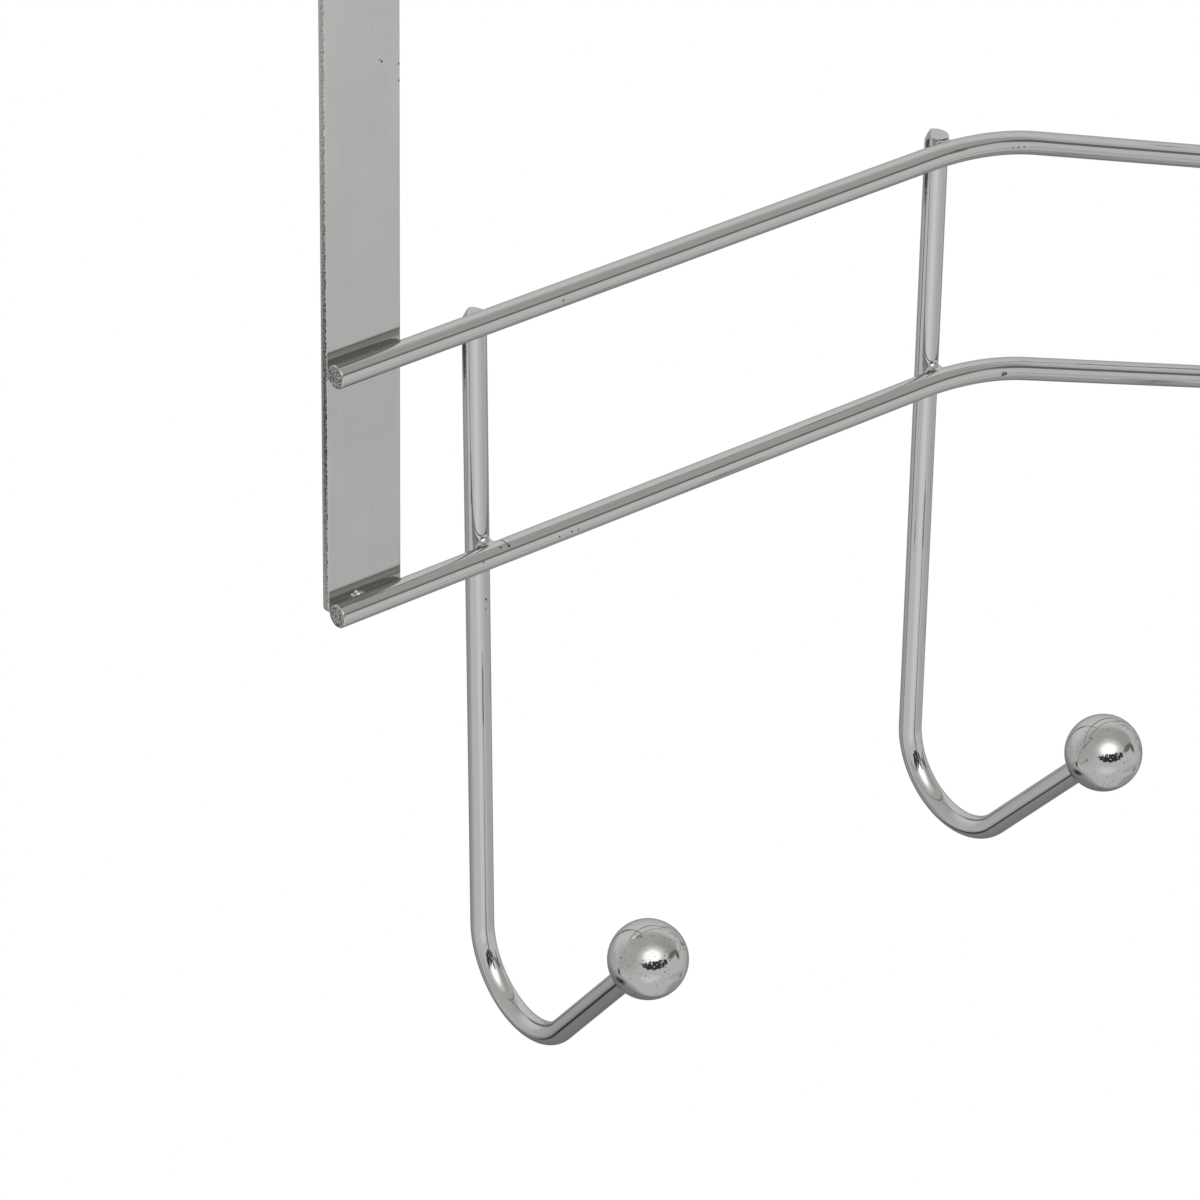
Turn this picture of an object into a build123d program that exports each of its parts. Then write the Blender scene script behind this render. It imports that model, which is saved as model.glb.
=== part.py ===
from build123d import *
import math
import os

# An over-door hook rack in chromed steel, welded from round wire and flat strip.
# The door's front face is the plane y = 0 and its top edge is z = 0. -Y faces the room.
# Sizes are in millimetres and degrees.

# Stock
WIRE = 5.5                  # diameter of the rails' and hooks' wire
WIRE_EDGE = 0.3             # rounding of a rail's square-cut ends
STRAP_WIDTH = 20.0
STRAP_THICKNESS = 2.0
STRAP_EDGE = 0.4            # rounding along the rolled strip's edges
STRAP_CORNER = 1.5          # rounding of the strip's cut corners
STRAP_PAST_RAIL = 0.6       # the strip's end, below the axis of the lower rail

# Fold of the straps over the door
DOOR_THICKNESS = 40.0       # thickest door that fits between the hooks and the rear lips
STRAP_BEND = 2.0            # inside radius of the two folds
REAR_LIP = 35.0             # length of strap behind the door, below its top edge

# Layout across the door
HOOKS_EACH_SIDE = 2         # hooks to the left and to the right of the middle one
HOOK_PITCH = 134.0
END_TO_HOOK = 42.0          # outer edge of a strap to the first hook
RAIL_INSET = 0.5            # a rail's end stands back from the strap's outer edge

# Rails, which dip between the second hook from each end
DOOR_TOP_TO_RAIL = 120.0    # door's top edge to the axis of the upper rail
RAIL_SPACING = 58.5         # axis of the upper rail to axis of the lower one
DIP_ANGLE = 20.1
DIP_PAST_HOOK = 10.5        # corner of the dip, inwards of the hook beside it
DIP_FLOOR = 60.0            # corner to corner along the low middle run
RAIL_BEND = 100.0           # bend radius at the rail's axis

# Hooks
HOOK_HEAD = 2.7             # pinched top of the wire, above the axis of the upper rail
HOOK_DROP = 154.0           # axis of the upper rail to the start of the bend
HOOK_BEND = 18.0            # bend radius at the wire's axis
HOOK_TURN = 136.5           # from straight down to the rising arm
HOOK_ARM = 49.5             # end of the bend to the centre of the ball
HEAD_OFFSET = 1.4           # ridge of the pinched top, to the left of the wire's axis
HEAD_TURN = 40.0            # ridge turned about the wire, away from square to the door
HEAD_LEFT_SLOPE = 54.0
HEAD_RIGHT_SLOPE = 6.0
BALL = 18.0                 # diameter
BALL_BORE = 6.0             # depth of the blind hole that takes the wire's end

# Welds press the pieces a little into each other
HOOK_SETDOWN = 0.6
STRAP_SETDOWN = 0.3

# The first hook from the left was welded a little low and out of true
FIRST_HOOK_SAG = 3.5
FIRST_HOOK_LEAN = 1.2       # foot of the hook swung inwards
FIRST_HOOK_TWIST = 4.0      # arm swung outwards
FIRST_HOOK_OVERBEND = 2.0
FIRST_HOOK_EXTRA_HEAD = 0.9

wire_radius = WIRE / 2
half_width = HOOKS_EACH_SIDE * HOOK_PITCH + END_TO_HOOK
upper_z = -DOOR_TOP_TO_RAIL
lower_z = upper_z - RAIL_SPACING

# The hooks' wires lie against the door, the rails in front of them, the straps between
hook_y = -wire_radius
rail_y = hook_y - WIRE + HOOK_SETDOWN
strap_front_y = rail_y + wire_radius - STRAP_SETDOWN
strap_back_y = strap_front_y + STRAP_THICKNESS

dip_corner = (HOOKS_EACH_SIDE - 1) * HOOK_PITCH - DIP_PAST_HOOK
dip_floor = DIP_FLOOR / 2
dip_slope = math.tan(math.radians(DIP_ANGLE))
dip_depth = (dip_corner - dip_floor) * dip_slope


def dip_at(x):
    """How far the rails have dipped at a place across the door."""
    run = min(dip_corner, max(dip_floor, abs(x)))
    return (dip_corner - run) * dip_slope


def wire_along(path):
    """Round wire along a path, cut square at both ends."""
    section = Plane(origin=path @ 0, z_dir=path % 0) * Circle(wire_radius)
    return sweep(section, path=path)


def rail(z):
    """Wire with four equal bends, level at the straps and low in the middle."""
    end = half_width - RAIL_INSET
    low = z - dip_depth
    corners = [
        (-end, z),
        (-dip_corner, z),
        (-dip_floor, low),
        (dip_floor, low),
        (dip_corner, z),
        (end, z),
    ]
    upright = Plane(origin=(0, rail_y, 0), x_dir=(1, 0, 0), z_dir=(0, -1, 0))
    wire = wire_along(upright * FilletPolyline(*corners, radius=RAIL_BEND))
    ends = wire.edges().group_by(Axis.X)
    return fillet(ends[0] + ends[-1], WIRE_EDGE)


def strap(middle_x, rails):
    """Strip folded twice over the door, with a shallow seat where each rail is welded on."""
    rear_y = DOOR_THICKNESS
    foot_z = lower_z - STRAP_PAST_RAIL
    inside = FilletPolyline(
        (strap_back_y, foot_z),
        (strap_back_y, 0),
        (rear_y, 0),
        (rear_y, -REAR_LIP),
        radius=STRAP_BEND,
    )
    outside = FilletPolyline(
        (strap_front_y, foot_z),
        (strap_front_y, STRAP_THICKNESS),
        (rear_y + STRAP_THICKNESS, STRAP_THICKNESS),
        (rear_y + STRAP_THICKNESS, -REAR_LIP),
        radius=STRAP_BEND + STRAP_THICKNESS,
    )
    front_end = Line(outside @ 0, inside @ 0)
    rear_end = Line(inside @ 1, outside @ 1)
    side = make_face(inside.edges() + outside.edges() + [front_end, rear_end])
    strip = extrude(Plane.YZ.offset(middle_x - STRAP_WIDTH / 2) * side, STRAP_WIDTH)

    def crosses_thickness(edge):
        return abs(edge.length - STRAP_THICKNESS) < 0.001

    strip = fillet(strip.edges().filter_by(Axis.Y).filter_by(crosses_thickness), STRAP_CORNER)
    long_edges = strip.faces().filter_by(Axis.X).edges()
    strip = fillet(long_edges.filter_by(crosses_thickness, reverse=True), STRAP_EDGE)
    for welded_rail in rails:
        strip = strip - welded_rail
    return strip


def pinched_off(head):
    """What the wire cutter took off: all that stands above a two-sided ridge."""
    reach = 2 * WIRE
    left = (-HEAD_OFFSET - reach, head - reach * math.tan(math.radians(HEAD_LEFT_SLOPE)))
    right = (-HEAD_OFFSET + reach, head - reach * math.tan(math.radians(HEAD_RIGHT_SLOPE)))
    above = head + reach
    outline = Polyline(
        (-HEAD_OFFSET, head), right, (right[0], above), (left[0], above), left, close=True
    )
    wedge = extrude(Plane.XZ * make_face(outline), amount=reach, both=True)
    return Rot(0, 0, -HEAD_TURN) * wedge


def hook_and_ball(place, head, turn, rails):
    """Bent wire with a pinched top, seated behind the rails, and the ball on its end."""
    upright = Plane(origin=(0, 0, 0), x_dir=(0, -1, 0), z_dir=(-1, 0, 0))
    shank = Line((0, head + WIRE), (0, -HOOK_DROP))
    foot = CenterArc((HOOK_BEND, -HOOK_DROP), HOOK_BEND, 180, turn)
    ball_centre = foot @ 1 + (foot % 1) * HOOK_ARM
    wire_end = ball_centre + (foot % 1) * (BALL_BORE - BALL / 2)
    arm = Line(foot @ 1, wire_end)
    wire = wire_along(upright * Wire([shank, foot, arm])) - pinched_off(head)
    wire = place * wire
    ball = place * (Pos(upright.from_local_coords(ball_centre)) * Sphere(BALL / 2)) - wire
    for welded_rail in rails:
        wire = wire - welded_rail
    return wire, ball


os.makedirs("parts", exist_ok=True)

rails = [rail(upper_z), rail(lower_z)]
export_step(rails[0], "parts/upper_rail.step")
export_step(rails[1], "parts/lower_rail.step")

strap_middle = half_width - STRAP_WIDTH / 2
export_step(strap(-strap_middle, rails), "parts/strap_left.step")
export_step(strap(strap_middle, rails), "parts/strap_right.step")

for step in range(-HOOKS_EACH_SIDE, HOOKS_EACH_SIDE + 1):
    number = step + HOOKS_EACH_SIDE + 1
    hook_x = step * HOOK_PITCH
    place = Pos(hook_x, hook_y, upper_z - dip_at(hook_x))
    head = HOOK_HEAD
    turn = HOOK_TURN
    if number == 1:
        sagged = Pos(0, 0, -FIRST_HOOK_SAG)
        place = place * sagged * Rot(0, -FIRST_HOOK_LEAN, 0) * Rot(0, 0, -FIRST_HOOK_TWIST)
        head = HOOK_HEAD + FIRST_HOOK_EXTRA_HEAD
        turn = HOOK_TURN + FIRST_HOOK_OVERBEND
    hook, ball = hook_and_ball(place, head, turn, rails)
    export_step(hook, f"parts/hook_{number}.step")
    export_step(ball, f"parts/ball_{number}.step")
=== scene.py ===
import math

import bmesh
import bpy
from mathutils import Matrix, Vector


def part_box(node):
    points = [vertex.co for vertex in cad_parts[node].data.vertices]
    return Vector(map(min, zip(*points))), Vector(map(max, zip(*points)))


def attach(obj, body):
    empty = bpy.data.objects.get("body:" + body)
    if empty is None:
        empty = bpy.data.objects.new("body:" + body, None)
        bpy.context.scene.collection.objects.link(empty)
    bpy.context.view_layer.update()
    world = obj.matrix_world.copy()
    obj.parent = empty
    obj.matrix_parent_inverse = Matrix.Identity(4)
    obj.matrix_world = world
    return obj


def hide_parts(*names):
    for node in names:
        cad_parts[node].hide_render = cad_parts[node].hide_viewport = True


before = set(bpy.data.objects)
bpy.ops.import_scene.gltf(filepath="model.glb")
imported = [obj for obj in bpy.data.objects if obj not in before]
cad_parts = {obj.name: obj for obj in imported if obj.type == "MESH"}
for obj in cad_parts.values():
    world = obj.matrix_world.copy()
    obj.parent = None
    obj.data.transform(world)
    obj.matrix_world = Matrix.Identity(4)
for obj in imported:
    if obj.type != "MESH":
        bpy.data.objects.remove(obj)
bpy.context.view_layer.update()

# Straps
# Two lengths of rolled steel strip, sheared to length, folded twice to hang over a door's top
# edge, and chromed with the rest. The broad faces are satin-bright with a fine grain along the
# strip. The sheared edges took the plating badly and stay dull and speckled.
MM = 0.001
STRIP_THICKNESS = 2.0 * MM
STRIP_FOLD = 2.0 * MM
STRIP_CORNER = 1.5 * MM
STRIP_EDGE = 0.4 * MM
REAR_LIP = 35.0 * MM
FOLD_STEPS = 10
SHARP = math.radians(45)
# A face that looks this far sideways is a sheared edge
SIDEWAYS = 0.5
SATIN_CHROME = (0.585, 0.60, 0.588, 1)
SATIN_DULLED = (0.55, 0.564, 0.553, 1)
SHEARED_STEEL = (0.58, 0.58, 0.56, 1)
SHEARED_DULL = (0.27, 0.27, 0.26, 1)
SHEARED_SPECK = (0.04, 0.04, 0.035, 1)
# Heights over which a sheared edge turns dull above the foot, and clears again further up
EDGE_DULLS = (-190 * MM, -130 * MM)
EDGE_CLEARS = (-135 * MM, -45 * MM)
# Depths over which the burr along the front of the edge runs out
EDGE_BURR = (-4.5 * MM, -3.8 * MM)
# Plating seen at a grazing angle
GRAZING_TINT = (0.6, 0.6, 0.6, 1)
PIT_BROWN = (0.07, 0.045, 0.03, 1)
# Drops from the lower weld: inwards of the strip's outer edge, above its foot, and half sizes
WELD_BEADS = [
    (7.0 * MM, 2.2 * MM, 0.7 * MM, 0.7 * MM),
    (8.1 * MM, 2.4 * MM, 0.9 * MM, 0.9 * MM),
    (9.3 * MM, 2.2 * MM, 0.7 * MM, 0.6 * MM),
]
BEAD_PROUD = 0.2 * MM
BEAD_SINK = 0.05 * MM
# Marks are places and radii in millimetres, solid over this share of the radius
MARK_CORE = 0.45
STRIP_PITS = [
    ((-294.9, -5.2, -51.6), 0.34),
    ((-295.4, -5.2, -51.1), 0.26),
    ((-290.3, -5.2, -53.4), 0.45),
    ((-290.3, -5.2, -57.3), 0.40),
]


class Shade:
    """A value, vector or colour inside a finish. Arithmetic on it adds Math nodes."""

    def __init__(self, socket):
        self.socket = socket

    def node(self, kind, inputs, output=0, **settings):
        """Adds a node, sets it up, and gives its sockets their numbers or links."""
        tree = self.socket.id_data
        node = tree.nodes.new(kind)
        for setting, value in settings.items():
            setattr(node, setting, value)
        for socket, value in inputs.items():
            if isinstance(value, Shade):
                tree.links.new(value.socket, node.inputs[socket])
            else:
                node.inputs[socket].default_value = value
        return Shade(node.outputs[output])

    def math(self, operation, first, second):
        return self.node("ShaderNodeMath", {0: first, 1: second}, operation=operation)

    def __add__(self, other):
        return self.math("ADD", self, other)

    def __sub__(self, other):
        return self.math("SUBTRACT", self, other)

    def __rsub__(self, other):
        return self.math("SUBTRACT", other, self)

    def __mul__(self, other):
        return self.math("MULTIPLY", self, other)

    __radd__ = __add__
    __rmul__ = __mul__

    def highest(self, other):
        return self.math("MAXIMUM", self, other)

    def rise(self, low, high):
        """0 below low, 1 above high, and a smooth rise between them."""
        return self.node(
            "ShaderNodeMapRange",
            {"Value": self, "From Min": low, "From Max": high},
            interpolation_type="SMOOTHSTEP",
        )

    def blend(self, plain, other):
        """One colour where this mask is 0, the other where it is 1."""
        return self.node("ShaderNodeMix", {0: self, 6: plain, 7: other}, 2, data_type="RGBA")

    def coordinate(self, axis):
        return self.node("ShaderNodeSeparateXYZ", {0: self}, axis)

    def noise(self, scale, detail, stretch=(1, 1, 1)):
        """Noise of about 0 to 1 over a place, with so many lumps to the metre."""
        stretched = self.node("ShaderNodeMapping", {"Vector": self, "Scale": stretch})
        return self.node(
            "ShaderNodeTexNoise", {"Vector": stretched, "Scale": scale, "Detail": detail}
        )

    def spots(self, marks, ragged, stretch=(1, 1, 1)):
        """A mask of marks, each a place and a radius in millimetres, with ragged edges."""
        stretched = self.node("ShaderNodeMapping", {"Vector": self, "Scale": stretch})
        mask = None
        for place, radius in marks:
            centre = Vector(place) * Vector(stretch) * MM
            distance = self.node(
                "ShaderNodeVectorMath", {0: stretched, 1: centre}, "Value", operation="DISTANCE"
            )
            reach = distance + (ragged - 0.5) * (radius * MM)
            mark = 1 - reach.rise(MARK_CORE * radius * MM, radius * MM)
            mask = mark if mask is None else mask.highest(mark)
        return mask

    def feed(self, shader, socket):
        self.socket.id_data.links.new(self.socket, shader.inputs[socket])


def new_finish(name):
    """A material, its shader, and the place on the piece that its patterns follow."""
    material = bpy.data.materials.new(name)
    material.use_nodes = True
    nodes = material.node_tree.nodes
    place = Shade(nodes.new("ShaderNodeTexCoord").outputs["Object"])
    shader = nodes["Principled BSDF"]
    shader.inputs["Specular Tint"].default_value = GRAZING_TINT
    return material, shader, place


def raise_bumps(shader, height, depth, strength):
    """Lets a height pattern of so many metres tilt the surface."""
    bumps = {"Height": height, "Strength": strength, "Distance": depth}
    height.node("ShaderNodeBump", bumps).feed(shader, "Normal")


def satin_chrome():
    material, shader, place = new_finish("satin_chrome")
    grain = place.noise(3200, 3, stretch=(1, 0.02, 0.02))
    clouds = place.noise(70, 3)
    streaks = place.noise(700, 3, stretch=(1, 0.03, 0.03))
    ragged = place.noise(2500, 3)
    pits = place.spots(STRIP_PITS, ragged)
    dulled = clouds * 2.4 + streaks - 1.2
    plating = dulled.blend(SATIN_CHROME, SATIN_DULLED)
    pits.blend(plating, PIT_BROWN).feed(shader, "Base Color")
    (1 - pits).feed(shader, "Metallic")
    (grain * 0.05 + clouds * 0.04 + pits * 0.5 + 0.06).feed(shader, "Roughness")
    raise_bumps(shader, grain - pits, depth=0.02 * MM, strength=0.25)
    return material


def sheared_edge():
    material, shader, place = new_finish("sheared_edge")
    height = place.coordinate("Z")
    dull = height.rise(*EDGE_DULLS) * (1 - height.rise(*EDGE_CLEARS))
    burr = 1 - place.coordinate("Y").rise(*EDGE_BURR)
    specks = place.noise(2300, 2, stretch=(1, 1, 0.8)).rise(0.46, 0.56)
    plating = (dull * (burr * 0.5 + 0.5)).blend(SHEARED_STEEL, SHEARED_DULL)
    dark = specks * (burr * 0.75 + 0.2) * (dull * 0.6 + 0.4)
    dark.blend(plating, SHEARED_SPECK).feed(shader, "Base Color")
    shader.inputs["Metallic"].default_value = 1.0
    (specks * 0.3 + 0.3).feed(shader, "Roughness")
    raise_bumps(shader, 1 - specks, depth=0.08 * MM, strength=0.5)
    return material


def run_on(mesh, rim, move):
    """Draws the open end of a length of stock straight on, and gives its new rim."""
    grown = bmesh.ops.extrude_edge_only(mesh, edges=rim)["geom"]
    moved = {part for part in grown if isinstance(part, bmesh.types.BMVert)}
    bmesh.ops.translate(mesh, verts=list(moved), vec=move)
    return [
        part for part in grown
        if isinstance(part, bmesh.types.BMEdge) and moved.issuperset(part.verts)
    ]


def bend_on(mesh, rim, centre, axis, angle, steps):
    """Bends the open end of a length of stock round an axis, and gives its new rim."""
    spun = bmesh.ops.spin(
        mesh, geom=rim, cent=centre, axis=axis, angle=angle, steps=steps, use_duplicate=False
    )
    return [part for part in spun["geom_last"] if isinstance(part, bmesh.types.BMEdge)]


def rounded(mesh, edges, radius, segments):
    bmesh.ops.bevel(
        mesh, geom=edges, offset=radius, offset_type="OFFSET", segments=segments, profile=0.5,
        affect="EDGES", material=-1, clamp_overlap=True,
    )


def plated_piece(node, mesh, slot, *finishes):
    """Makes a finished mesh the piece that stands for a CAD node, on the rack's one body."""
    for face in mesh.faces:
        face.smooth = True
    for edge in mesh.edges:
        edge.smooth = edge.calc_face_angle(0) < SHARP
    data = bpy.data.meshes.new(f"{node}_plated")
    mesh.to_mesh(data)
    mesh.free()
    for finish in finishes:
        data.materials.append(finish)
    piece = bpy.data.objects.new(f"{node}_plated", data)
    bpy.context.collection.objects.link(piece)
    piece.modifiers.new("even_shading", "WEIGHTED_NORMAL").keep_sharp = True
    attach(piece, "root")
    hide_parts(node)


def weld_bead(mesh, middle, half_width, half_height, face_y):
    """A drop of metal that ran out of a weld and set on the strip's front face."""
    size = Matrix.Diagonal((half_width, half_height, half_height, 1))
    drop = bmesh.ops.create_icosphere(
        mesh, subdivisions=3, radius=1, matrix=Matrix.Translation(middle) @ size
    )["verts"]
    faces = list({face for vert in drop for face in vert.link_faces})
    edges = list({edge for vert in drop for edge in vert.link_edges})
    cut = bmesh.ops.bisect_plane(
        mesh, geom=drop + edges + faces, plane_co=(0, face_y, 0), plane_no=(0, 1, 0),
        clear_outer=True,
    )["geom_cut"]
    rim = [part for part in cut if isinstance(part, bmesh.types.BMEdge)]
    bmesh.ops.edgeloop_fill(mesh, edges=rim)


def folded_strap(node):
    low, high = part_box(node)
    back = low.y + STRIP_THICKNESS
    rear = high.y - STRIP_THICKNESS
    mesh = bmesh.new()
    corners = [
        mesh.verts.new((x, y, low.z))
        for x, y in ((low.x, low.y), (high.x, low.y), (high.x, back), (low.x, back))
    ]
    foot = [mesh.edges.new((corners[i - 1], corners[i])) for i in range(len(corners))]
    along_x = Vector((1, 0, 0))
    quarter = -math.pi / 2
    rim = run_on(mesh, foot, (0, 0, -STRIP_FOLD - low.z))
    rim = bend_on(mesh, rim, (0, back + STRIP_FOLD, -STRIP_FOLD), along_x, quarter, FOLD_STEPS)
    rim = run_on(mesh, rim, (0, rear - back - 2 * STRIP_FOLD, 0))
    rim = bend_on(mesh, rim, (0, rear - STRIP_FOLD, -STRIP_FOLD), along_x, quarter, FOLD_STEPS)
    rim = run_on(mesh, rim, (0, 0, STRIP_FOLD - REAR_LIP))
    for end in (foot, rim):
        bmesh.ops.edgeloop_fill(mesh, edges=end)
    bmesh.ops.recalc_face_normals(mesh, faces=mesh.faces)

    # The cut corners, then both outlines of the strip
    across = [edge for edge in foot + rim if abs(edge.verts[0].co.x - edge.verts[1].co.x) < MM]
    rounded(mesh, across, STRIP_CORNER, segments=6)
    outlines = [edge for edge in mesh.edges if edge.calc_face_angle(0) > SHARP]
    rounded(mesh, outlines, STRIP_EDGE, segments=3)
    for face in mesh.faces:
        face.material_index = int(abs(face.normal.x) > SIDEWAYS)
    inwards = math.copysign(1, -low.x)
    outer = max(low.x, high.x, key=abs)
    for along, above, half_width, half_height in WELD_BEADS:
        middle = (outer + inwards * along, low.y - BEAD_PROUD, low.z + above)
        weld_bead(mesh, middle, half_width, half_height, low.y + BEAD_SINK)
    bmesh.ops.recalc_face_normals(mesh, faces=mesh.faces)
    return mesh


strip_finish = satin_chrome()
edge_finish = sheared_edge()
for node in ("strap_left", "strap_right"):
    plated_piece(node, folded_strap(node), "strip_chrome", strip_finish, edge_finish)

# Rails
# Two drawn steel wires across the door, bent to dip in the middle, welded on the straps' front
# faces and chromed bright. Their ends are cropped square and left dull. Small rust specks have
# come through the plating here and there.
WIRE_SIDES = 72
WIRE_EDGE = 0.3 * MM
DIP_ANGLE = math.radians(20.1)
DIP_CORNER = 123.5 * MM
DIP_FLOOR = 30.0 * MM
RAIL_BEND = 100.0 * MM
# Length of one facet round a bend, and the fewest facets in one
BEND_STEP = 1.2 * MM
FEWEST_STEPS = 6
# A face that looks this squarely along a rail is its cropped end
ENDWAYS = 0.999
# Stretch of wire over which the drawing lines fade out
LINES_FADE = 6.0 * MM
BRIGHT_CHROME = (0.53, 0.535, 0.53, 1)
CROPPED_STEEL = (0.54, 0.54, 0.535, 1)
CROPPED_SHADE = (0.13, 0.13, 0.125, 1)
RUST = (0.11, 0.053, 0.027, 1)
RUST_MARKS = [
    # Cracked plating beside the first hook, on the lower rail
    ((-263.7, -7.6, -175.8), 0.40),
    ((-263.6, -8.3, -175.9), 0.32),
    ((-263.5, -8.8, -176.1), 0.32),
    ((-263.3, -9.4, -176.4), 0.55),
    ((-265.4, -9.1, -176.2), 0.40),
    # Specks along the lower rail
    ((-249.7, -10.4, -178.4), 0.36),
    ((-246.2, -10.4, -178.3), 0.33),
    ((-244.3, -10.4, -178.5), 0.30),
    ((-116.6, -10.4, -181.7), 0.75),
    ((-115.8, -10.4, -181.85), 0.55),
    # Specks and a line along the upper rail
    ((-249.5, -10.4, -119.8), 0.36),
    ((-136.6, -10.05, -118.75), 0.28),
    ((-136.0, -10.05, -118.78), 0.30),
    ((-135.4, -10.05, -118.81), 0.32),
    ((-134.8, -10.05, -118.85), 0.38),
    ((-134.2, -10.05, -118.89), 0.42),
    ((-133.6, -10.05, -118.93), 0.42),
    ((-133.0, -10.05, -118.98), 0.42),
    ((-132.4, -10.05, -119.03), 0.38),
    ((-131.8, -10.05, -119.08), 0.32),
    ((-131.2, -10.05, -119.13), 0.28),
    ((-117.1, -10.4, -123.2), 0.30),
    ((-115.5, -10.4, -123.5), 0.40),
    ((-113.7, -10.4, -123.9), 0.30),
]
# Grey of chipped plating, and of the painted dark streaks of reflected shade down the hooks
CHIP_AND_PAINTED_STREAK_GREY = (0.09, 0.09, 0.085, 1)
CHIP_MARKS = [
    # Chipped plating in front of the first hook, on the lower rail, and below its weld
    ((-271.0, -10.2, -177.5), 0.30),
    ((-266.4, -5.5, -190.7), 0.40),
    ((-266.5, -5.5, -193.0), 0.25),
]
# Draws each painted dark streak, a painted reflection of shade, out along the height of the wire
# that it marks
PAINTED_STREAK_STRETCH = (1, 1, 0.055)

rail_low, rail_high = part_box("upper_rail")
WIRE_RADIUS = (rail_high.y - rail_low.y) / 2


def bright_chrome(name, drawn, lines_end, painted_streaks=()):
    """Bright plating over drawn wire, with painted dark streaks, painted reflections of shade,
    where they are given.

    Its fine lines follow the axis on which drawn is small, and fade out in front of lines_end.
    """
    material, shader, place = new_finish(name)
    ripple = place.noise(260, 2)
    behind = place.coordinate("Y").rise(lines_end - LINES_FADE, lines_end)
    lines = place.noise(1100, 2, stretch=drawn) * behind
    ragged = place.noise(2600, 3)
    grain = place.noise(3600, 2)
    rust = place.spots(RUST_MARKS, ragged)
    chips_and_painted_streaks = place.spots(CHIP_MARKS, ragged)
    # The painted dark streaks, painted reflections of shade, share the chips' grey
    if painted_streaks:
        chips_and_painted_streaks = chips_and_painted_streaks.highest(place.spots(painted_streaks, ragged, stretch=PAINTED_STREAK_STRETCH))
    plating = chips_and_painted_streaks.blend(BRIGHT_CHROME, CHIP_AND_PAINTED_STREAK_GREY)
    rust.blend(plating, RUST).feed(shader, "Base Color")
    (1 - rust).feed(shader, "Metallic")
    (rust * 0.6 + chips_and_painted_streaks * 0.3 + lines * 0.05 + 0.03).feed(shader, "Roughness")
    relief = ripple + lines * 0.5 + grain * 0.15 - rust - chips_and_painted_streaks
    raise_bumps(shader, relief, depth=0.02 * MM, strength=0.5)
    return material


def cropped_end():
    material, shader, place = new_finish("cropped_end")
    torn = place.noise(2500, 3).rise(0.42, 0.58)
    torn.blend(CROPPED_STEEL, CROPPED_SHADE).feed(shader, "Base Color")
    shader.inputs["Metallic"].default_value = 0.8
    (torn * 0.2 + 0.4).feed(shader, "Roughness")
    raise_bumps(shader, torn, depth=0.1 * MM, strength=0.5)
    return material


def bent_wire(start, heading, axis, moves):
    """Round wire led straight on and round bends about one axis. Gives its mesh and end rims."""
    mesh = bmesh.new()
    here = Vector(start)
    heading = Vector(heading)
    axis = Vector(axis)
    facing = Matrix.Translation(here) @ heading.to_track_quat("Z", "Y").to_matrix().to_4x4()
    bmesh.ops.create_circle(mesh, segments=WIRE_SIDES, radius=WIRE_RADIUS, matrix=facing)
    first = list(mesh.edges)
    rim = first
    for length, turn, radius in moves:
        here = here + heading * length
        rim = run_on(mesh, rim, heading * length)
        if turn:
            arm = heading.cross(axis) * math.copysign(radius, turn)
            turned = Matrix.Rotation(turn, 3, axis)
            steps = max(FEWEST_STEPS, round(abs(turn) * radius / BEND_STEP))
            rim = bend_on(mesh, rim, here - arm, axis, turn, steps)
            here = here - arm + turned @ arm
            heading = turned @ heading
    return mesh, first, rim


def rail(node):
    low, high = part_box(node)
    tangent = RAIL_BEND * math.tan(DIP_ANGLE / 2)
    level = -low.x - DIP_CORNER - tangent
    slope = (DIP_CORNER - DIP_FLOOR) / math.cos(DIP_ANGLE) - 2 * tangent
    bottom = 2 * (DIP_FLOOR - tangent)
    start = (low.x, (low.y + high.y) / 2, high.z - WIRE_RADIUS)
    moves = [
        (level, DIP_ANGLE, RAIL_BEND),
        (slope, -DIP_ANGLE, RAIL_BEND),
        (bottom, -DIP_ANGLE, RAIL_BEND),
        (slope, DIP_ANGLE, RAIL_BEND),
        (level, 0, 0),
    ]
    mesh, left, right = bent_wire(start, (1, 0, 0), (0, 1, 0), moves)
    for end in (left, right):
        bmesh.ops.edgeloop_fill(mesh, edges=end)
    bmesh.ops.recalc_face_normals(mesh, faces=mesh.faces)
    rounded(mesh, left + right, WIRE_EDGE, segments=4)
    for face in mesh.faces:
        face.material_index = int(abs(face.normal.x) > ENDWAYS)
    return mesh


rail_finish = bright_chrome("rail_chrome", drawn=(0.02, 1, 1), lines_end=-20 * MM)
crop_finish = cropped_end()
for node in ("upper_rail", "lower_rail"):
    plated_piece(node, rail(node), "wire_chrome", rail_finish, crop_finish)

# Hooks
# Drawn wire pinched off at the top, laid behind both rails and resistance-welded to them, bent
# forward and up at the foot. Each weld squeezed out a smooth collar under the plating. A painted
# dark streak, a painted reflection of shade, runs down each hook's left side below its upper
# weld.
# The first hook sits a little low and out of true.
HOOK_COUNT = 5
HOOK_NUMBERS = range(1, HOOK_COUNT + 1)
HOOK_PITCH = 134.0 * MM
HOOK_HEAD = 2.7 * MM
HOOK_DROP = 154.0 * MM
HOOK_BEND = 18.0 * MM
HOOK_TURN = math.radians(136.5)
HOOK_ARM = 49.5 * MM
HEAD_OFFSET = 1.4 * MM
HEAD_TURN = math.radians(-40)
HEAD_SLOPES = (math.radians(-54), math.radians(6))
HEAD_EDGE = 0.25 * MM
HEAD_SHARP = math.radians(20)
# Wire above the head that the cutters take off, and how far below the rail's axis they reach
HEAD_SPARE = 4 * WIRE_RADIUS
HEAD_REACH = 2 * WIRE_RADIUS
# Corners this near to a cut lie on it
CUT_SNAP = 1e-7
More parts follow.
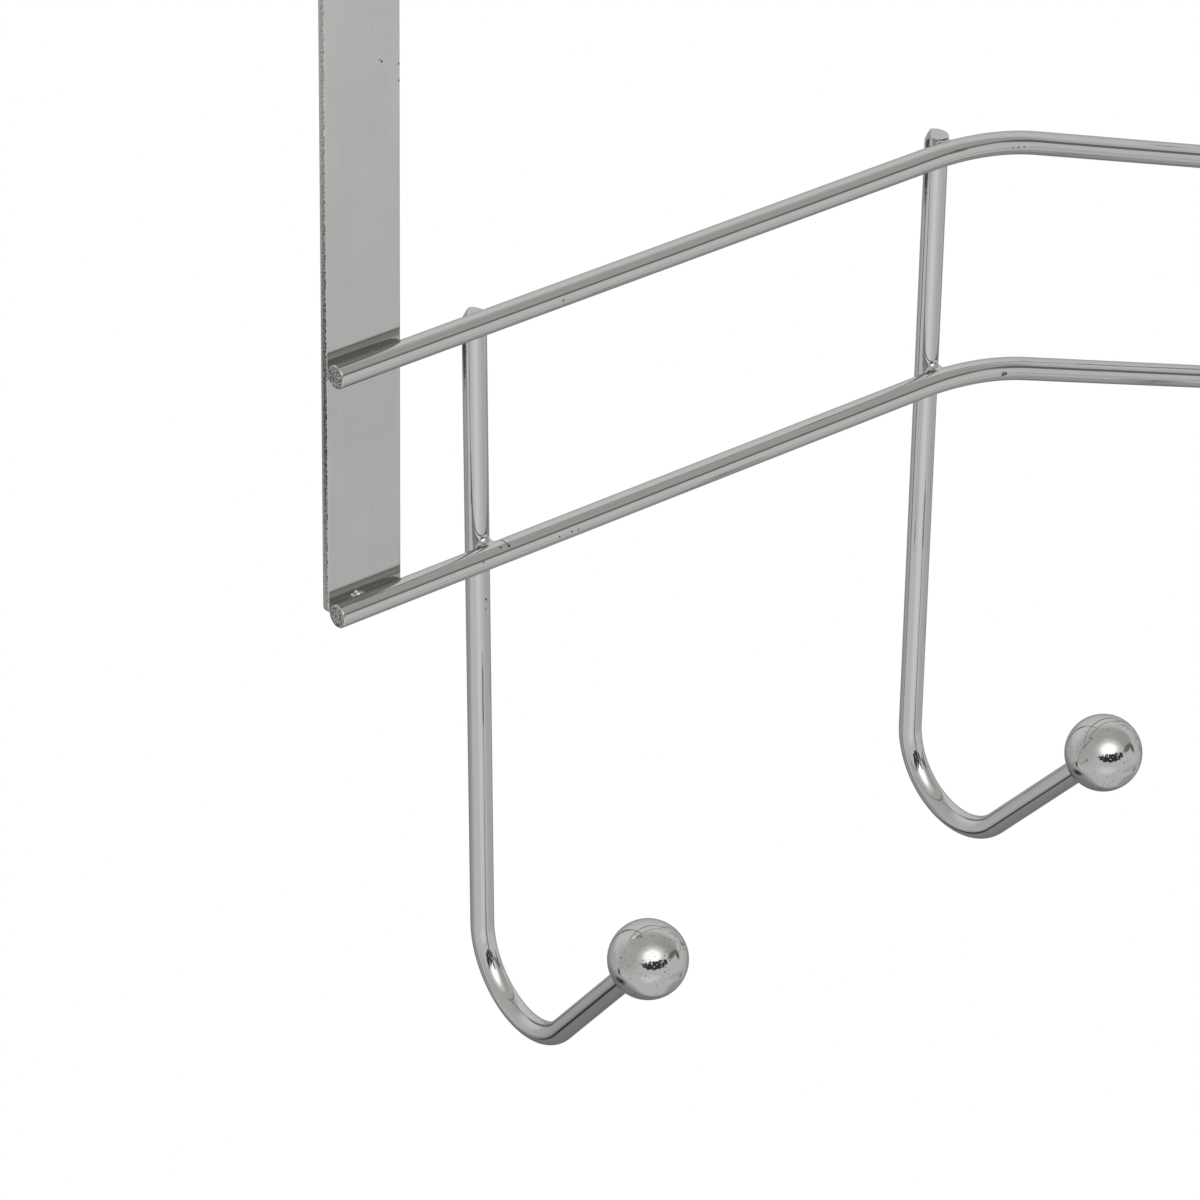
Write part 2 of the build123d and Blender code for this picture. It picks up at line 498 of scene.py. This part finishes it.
# Corners closer than this are one
SAME_CORNER = 0.001 * MM
BALL_RADIUS = 9.0 * MM
BALL_BORE = 6.0 * MM
FIRST_SAG = 3.5 * MM
FIRST_LEAN = math.radians(1.2)
FIRST_TWIST = math.radians(4)
FIRST_OVERBEND = math.radians(2)
FIRST_EXTRA_HEAD = 0.9 * MM
# Hollow radius of a collar at the hook's sides, and in front of it
UPPER_COLLAR = (0.5 * MM, 1.0 * MM)
LOWER_COLLAR = (0.5 * MM, 2.0 * MM)
# Power by which the hollow grows from the sides to the front
COLLAR_EASE = 6
# The inside of a collar closes at this share of the way from the middle of the crossing to points
# this far below the wires' surfaces
COLLAR_CORE = 0.6
COLLAR_SINK = 0.03 * MM
COLLAR_AROUND = 96
# Steps from the rail to the hook. The last one, under 0.03 mm thick, is left out
COLLAR_ACROSS = 10
# Radius in millimetres of the painted dark streak down the left side of a hook, below its upper
# weld. The streak is painted shade: a dark reflection painted into the plating's colour.
PAINTED_STREAK_RADIUS = 0.85

hook_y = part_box("hook_2")[1].y - WIRE_RADIUS
rail_y = (rail_low.y + rail_high.y) / 2
upper_z = rail_high.z - WIRE_RADIUS
lower_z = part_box("lower_rail")[1].z - WIRE_RADIUS


def rail_drop(x):
    """How far a rail's axis has dipped at a place across the door, and its slope there."""
    tangent = RAIL_BEND * math.tan(DIP_ANGLE / 2)
    inwards = DIP_CORNER + tangent - abs(x)
    if inwards <= 0:
        return 0.0, 0.0
    if abs(x) <= DIP_FLOOR - tangent:
        return (DIP_CORNER - DIP_FLOOR) * math.tan(DIP_ANGLE), 0.0
    angle = min(DIP_ANGLE, math.asin(min(1, inwards / RAIL_BEND)))
    straight = inwards - RAIL_BEND * math.sin(angle)
    drop = RAIL_BEND * (1 - math.cos(angle)) + straight * math.tan(angle)
    return drop, math.copysign(angle, -x)


def pinch_off(mesh, verts, head):
    """Cuts what these corners belong to down to a two-sided ridge, as side cutters leave it."""
    jaws = Matrix.Rotation(HEAD_TURN, 3, "Z")
    for slope in HEAD_SLOPES:
        verts = [vert for vert in verts if vert.is_valid]
        edges = {edge for vert in verts for edge in vert.link_edges}
        faces = {face for vert in verts for face in vert.link_faces}
        cut = bmesh.ops.bisect_plane(
            mesh, geom=verts + list(edges) + list(faces), dist=CUT_SNAP, clear_outer=True,
            plane_co=jaws @ Vector((-HEAD_OFFSET, 0, head)),
            plane_no=jaws @ Vector((math.sin(slope), 0, math.cos(slope))),
        )["geom_cut"]
        verts += [part for part in cut if isinstance(part, bmesh.types.BMVert)]
        rims = [part for part in cut if isinstance(part, bmesh.types.BMEdge) and part.is_boundary]
        bmesh.ops.holes_fill(mesh, edges=rims, sides=0)


def weld_collar(mesh, radii, rail_from_hook):
    """The fillet of squeezed-out metal all round the place where a hook crosses a rail.

    rail_from_hook takes a frame with x along the rail and y towards the hook to the hook's own.
    """
    apart = hook_y - rail_y
    slope = math.asin(rail_from_hook.col[0].z)
    upright = Vector((math.sin(slope), 0, math.cos(slope)))
    heart = Vector((0, apart / 2, 0))
    at_side, in_front = radii
    rows = COLLAR_ACROSS + 1
    grid = bmesh.ops.create_grid(
        mesh, x_segments=COLLAR_AROUND, y_segments=rows, size=0.5
    )["verts"]
    for vert in grid:
        around = (vert.co.x + 0.5) * math.tau
        row = round((vert.co.y + 0.5) * rows) % rows
        radius = at_side + (in_front - at_side) * math.sin(around) ** COLLAR_EASE
        rolling = WIRE_RADIUS + radius
        share = (WIRE_RADIUS - COLLAR_SINK) / rolling
        # Centre of a ball that rolls round the crossing and touches both wires
        deep = apart / 2 + (rolling - apart / 2) * math.cos(2 * around)
        side = math.copysign(
            math.sqrt(max(0, rolling ** 2 - (deep - apart) ** 2)), math.cos(around)
        )
        above = math.copysign(math.sqrt(max(0, rolling ** 2 - deep ** 2)), math.sin(around))
        along = side / math.cos(slope) + above * math.tan(slope)
        centre = Vector((along, deep, above))
        on_rail = Vector((along, deep * share, above * share))
        beside = Vector((0, apart, 0)) + upright * centre.dot(upright)
        on_hook = beside + (centre - beside) * share
        if row < COLLAR_ACROSS:
            to_rail = (on_rail - centre).normalized()
            to_hook = (on_hook - centre).normalized()
            vert.co = centre + to_rail.slerp(to_hook, row / COLLAR_ACROSS) * radius
        else:
            vert.co = heart.lerp((on_rail + on_hook) / 2, COLLAR_CORE)
    bmesh.ops.remove_doubles(mesh, verts=grid, dist=SAME_CORNER)
    collar = [vert for vert in grid if vert.is_valid]
    bmesh.ops.transform(mesh, matrix=rail_from_hook, verts=collar)
    return collar


def hook_place(number):
    """Where a hook's own frame sits: its origin is where its axis passes the upper rail's."""
    x = (number - (HOOK_COUNT + 1) / 2) * HOOK_PITCH
    run = min(DIP_CORNER, max(DIP_FLOOR, abs(x)))
    drop = (DIP_CORNER - run) * math.tan(DIP_ANGLE)
    place = Matrix.Translation((x, hook_y, upper_z - drop))
    if number == 1:
        place = (
            place @ Matrix.Translation((0, 0, -FIRST_SAG))
            @ Matrix.Rotation(-FIRST_LEAN, 4, "Y") @ Matrix.Rotation(-FIRST_TWIST, 4, "Z")
        )
    return place


def hook_turn(number):
    return HOOK_TURN + FIRST_OVERBEND * (number == 1)


def hook(number):
    place = hook_place(number)
    head = HOOK_HEAD + FIRST_EXTRA_HEAD * (number == 1)
    top = head + HEAD_SPARE
    arm = HOOK_ARM + BALL_BORE - BALL_RADIUS
    moves = [(top + HOOK_DROP, -hook_turn(number), HOOK_BEND), (arm, 0, 0)]
    mesh, _, tip = bent_wire((0, 0, top), (0, 0, -1), (1, 0, 0), moves)
    bmesh.ops.edgeloop_fill(mesh, edges=tip)
    pinch_off(mesh, list(mesh.verts), head)
    bmesh.ops.recalc_face_normals(mesh, faces=mesh.faces)
    ridge = [
        edge for edge in mesh.edges
        if edge.calc_face_angle(0) > HEAD_SHARP and edge.verts[0].co.z > -HEAD_REACH
    ]
    rounded(mesh, ridge, HEAD_EDGE, segments=3)

    for rail_z, radii in ((upper_z, UPPER_COLLAR), (lower_z, LOWER_COLLAR)):
        axis_point = place @ Vector((0, 0, rail_z - upper_z))
        drop, slope = rail_drop(axis_point.x)
        crossing = (
            Matrix.Translation((axis_point.x, rail_y, rail_z - drop))
            @ Matrix.Rotation(slope, 4, "Y")
        )
        collar = weld_collar(mesh, radii, place.inverted() @ crossing)
        pinch_off(mesh, collar, head - HEAD_EDGE)
    bmesh.ops.remove_doubles(mesh, verts=mesh.verts, dist=SAME_CORNER)
    bmesh.ops.recalc_face_normals(mesh, faces=mesh.faces)
    bmesh.ops.transform(mesh, matrix=place, verts=mesh.verts)
    return mesh


# Painted dark streaks, painted reflections of shade, down each hook's left side below its upper
# weld
painted_streaks = [
    (hook_place(number) @ Vector((-WIRE_RADIUS, 0, -WIRE_RADIUS)) / MM, PAINTED_STREAK_RADIUS)
    for number in HOOK_NUMBERS
]
hook_finish = bright_chrome("hook_chrome", drawn=(1, 1, 0.02), lines_end=-6 * MM, painted_streaks=painted_streaks)
for number in HOOK_NUMBERS:
    plated_piece(f"hook_{number}", hook(number), "wire_chrome", hook_finish)

# Ball tips
# Turned steel balls with a blind bore, pressed on the hooks' ends and chromed to a mirror. The
# plating is the smoothest on the rack, with a few fine pits.
BALL_STEPS = 56
BALL_SIDES = 112
BORE_MOUTH = 0.3 * MM
MIRROR_CHROME = (0.515, 0.52, 0.51, 1)
MIRROR_PIT = (0.10, 0.10, 0.095, 1)


def mirror_chrome():
    material, shader, place = new_finish("mirror_chrome")
    ripple = place.noise(180, 2) + place.noise(3600, 2) * 0.12
    pits = place.noise(2600, 2).rise(0.62, 0.69) * place.noise(170, 2).rise(0.48, 0.60)
    pits.blend(MIRROR_CHROME, MIRROR_PIT).feed(shader, "Base Color")
    shader.inputs["Metallic"].default_value = 1.0
    (pits * 0.25 + 0.03).feed(shader, "Roughness")
    raise_bumps(shader, ripple - pits, depth=0.02 * MM, strength=0.4)
    return material


def ball_tip(number):
    mesh = bmesh.new()
    bore_end = BALL_BORE - BALL_RADIUS
    mouth = math.asin(WIRE_RADIUS / BALL_RADIUS) + BORE_MOUTH / BALL_RADIUS
    bore = [
        mesh.verts.new((0, 0, bore_end)),
        mesh.verts.new((WIRE_RADIUS, 0, bore_end)),
        mesh.verts.new((WIRE_RADIUS, 0, -BALL_RADIUS * math.cos(mouth) + BORE_MOUTH)),
        mesh.verts.new((BALL_RADIUS * math.sin(mouth), 0, -BALL_RADIUS * math.cos(mouth))),
    ]
    for start, end in zip(bore, bore[1:]):
        mesh.edges.new((start, end))
    bmesh.ops.spin(
        mesh, geom=[bore[-1]], cent=(0, 0, 0), axis=(0, -1, 0), angle=math.pi - mouth,
        steps=BALL_STEPS, use_duplicate=False,
    )
    profile = list(mesh.verts) + list(mesh.edges)
    bmesh.ops.spin(
        mesh, geom=profile, cent=(0, 0, 0), axis=(0, 0, 1), angle=math.tau, steps=BALL_SIDES,
        use_merge=True, use_duplicate=False,
    )
    bmesh.ops.remove_doubles(mesh, verts=mesh.verts, dist=SAME_CORNER)
    bmesh.ops.recalc_face_normals(mesh, faces=mesh.faces)

    # Down the shank, round the bend and up the arm to the ball's centre
    turn = hook_turn(number)
    up_arm = Vector((0, -math.sin(turn), -math.cos(turn)))
    bend_end = Vector((
        0, -HOOK_BEND * (1 - math.cos(turn)), -HOOK_DROP - HOOK_BEND * math.sin(turn)
    ))
    facing = up_arm.to_track_quat("Z", "Y").to_matrix().to_4x4()
    seat = Matrix.Translation(bend_end + up_arm * HOOK_ARM) @ facing
    bmesh.ops.transform(mesh, matrix=hook_place(number) @ seat, verts=mesh.verts)
    return mesh


ball_finish = mirror_chrome()
for number in HOOK_NUMBERS:
    plated_piece(f"ball_{number}", ball_tip(number), "ball_chrome", ball_finish)

# Floor
# The rack hangs two metres up a door, so the pale floor lies far below and the shadow on it is
# faint. The camera sees it as white as the surroundings.
FLOOR_DROP = 2.0
FLOOR_WIDTH = 2.4
FLOOR_WHITE = (0.92, 0.92, 0.92, 1)
FLOOR_GLOW = 0.9

bpy.ops.mesh.primitive_plane_add(size=FLOOR_WIDTH, location=(0, 0, -FLOOR_DROP))
floor = bpy.context.object
floor.name = "floor"
floor.visible_glossy = False
pale = bpy.data.materials.new("pale_floor")
pale.use_nodes = True
nodes = pale.node_tree.nodes
seen = Shade(nodes.new("ShaderNodeLightPath").outputs["Is Camera Ray"])
matt = nodes["Principled BSDF"]
matt.inputs["Base Color"].default_value = FLOOR_WHITE
matt.inputs["Roughness"].default_value = 1.0
matt.inputs["Specular IOR Level"].default_value = 0.0
glow = seen.node("ShaderNodeEmission", {})
shaders = {0: seen * FLOOR_GLOW, 1: Shade(matt.outputs[0]), 2: glow}
seen.node("ShaderNodeMixShader", shaders).feed(nodes["Material Output"], "Surface")
floor.data.materials.append(pale)

# Studio
# A pale room that the chrome mirrors: a light wall behind, a white table below that is dark
# behind the rack, a dimmer ceiling, one broad soft light in front, and a broken dark band along
# the front where the white ends.
BACKDROP_WHITE = (1, 1, 1, 1)
TABLE_WHITE = (0.82, 0.82, 0.82, 1)
ALL_ROUND = 1000
ROOM = [
    # Degrees to the right of the front, half width, elevation, half height, core, colour
    (0, ALL_ROUND, 90, 66, 0.45, (0.62, 0.62, 0.58, 1)),
    (-105, 48, 20, 55, 0.0, (0.66, 0.66, 0.64, 1)),
    (150, 80, 28, 48, 0.25, (0.92, 0.93, 0.93, 1)),
    (54, 32, 38, 31, 0.40, (0.56, 0.555, 0.51, 1)),
    (180, 75, -14, 17, 0.10, (0.70, 0.70, 0.69, 1)),
    (180, 115, -70, 54, 0.20, (0.37, 0.37, 0.36, 1)),
    (122, 40, -32, 17, 0.10, (0.62, 0.62, 0.61, 1)),
    (-136, 28, -46, 8, 0.0, (0.06, 0.06, 0.06, 1)),
    (-126, 7, -26, 9, 0.0, (0.12, 0.12, 0.12, 1)),
    (72, 42, -54, 16, 0.10, (0.57, 0.57, 0.56, 1)),
    (70, 9, -36, 6, 0.0, (0.25, 0.25, 0.24, 1)),
    (46, 40, -31, 8.5, 0.0, (0.68, 0.68, 0.67, 1)),
    (-33, 35, -24, 17, 0.0, (1.02, 1.02, 1.02, 1)),
    (-24, 64, 44, 36, 0.0, (1.12, 1.12, 1.10, 1)),
    (-25, 43, 40, 25, 0.0, (2.1, 2.1, 2.1, 1)),
    (40, 20, 19, 9, 0.20, (0.24, 0.24, 0.22, 1)),
    (57, 8, 9, 15, 0.20, (0.20, 0.20, 0.19, 1)),
]
BAND = (-18, 54, 14, 17, 0.15)
BAND_WEIGHT = 0.9
BAND_BREAKS = 2.4
BAND_DARK = (0.06, 0.055, 0.05, 1)

world = bpy.data.worlds.new("studio")
bpy.context.scene.world = world
world.use_nodes = True
nodes = world.node_tree.nodes
background = nodes["Background"]
gaze = Shade(nodes.new("ShaderNodeTexCoord").outputs["Generated"])
seen = Shade(nodes.new("ShaderNodeLightPath").outputs["Is Camera Ray"])


def towards(direction):
    return gaze.node(
        "ShaderNodeVectorMath", {0: gaze, 1: direction}, "Value", operation="DOT_PRODUCT"
    )


height = towards((0, 0, 1))
elevation = height.math("ARCSINE", height, 0.0)


def patch(azimuth, half_width, middle, half_height, core):
    """A soft oval in the room, 1 inside its core and 0 outside."""
    turn = math.radians(azimuth)
    ahead = towards((math.sin(turn), -math.cos(turn), 0))
    aside = towards((math.cos(turn), math.sin(turn), 0))
    off = aside.math("ARCTAN2", aside, ahead) * (1 / math.radians(half_width))
    over = (elevation - math.radians(middle)) * (1 / math.radians(half_height))
    return 1 - (off * off + over * over).rise(core, 1)


room = TABLE_WHITE
for *oval, colour in ROOM:
    room = patch(*oval).blend(room, colour)
broken = patch(*BAND) * BAND_WEIGHT + (gaze.noise(9, 3) - 0.5) * BAND_BREAKS
room = broken.rise(0.45, 0.65).blend(room, BAND_DARK)
seen.blend(room, BACKDROP_WHITE).feed(background, "Color")

# Camera
# A long lens from the upper left, close on the rack's left end and a touch off level, as the
# photograph was taken.
CAMERA_PLACE = (-1.037207, -0.962538, 0.523599)
CAMERA_LENS = 193.31
CAMERA_SENSOR = 36
CAMERA_REACH = 100
CAMERA_TURN = math.radians(-40.017)
CAMERA_DIP = math.radians(90 - 30.161)
CAMERA_ROLL = math.radians(0.947)

camera = bpy.data.objects.new("camera", bpy.data.cameras.new("camera"))
bpy.context.collection.objects.link(camera)
camera.data.sensor_width = CAMERA_SENSOR
camera.data.lens = CAMERA_LENS
camera.data.clip_end = CAMERA_REACH
camera.matrix_world = (
    Matrix.Translation(CAMERA_PLACE) @ Matrix.Rotation(CAMERA_TURN, 4, "Z")
    @ Matrix.Rotation(CAMERA_DIP, 4, "X") @ Matrix.Rotation(CAMERA_ROLL, 4, "Z")
)
bpy.context.scene.camera = camera
bpy.context.scene.view_settings.view_transform = "Standard"
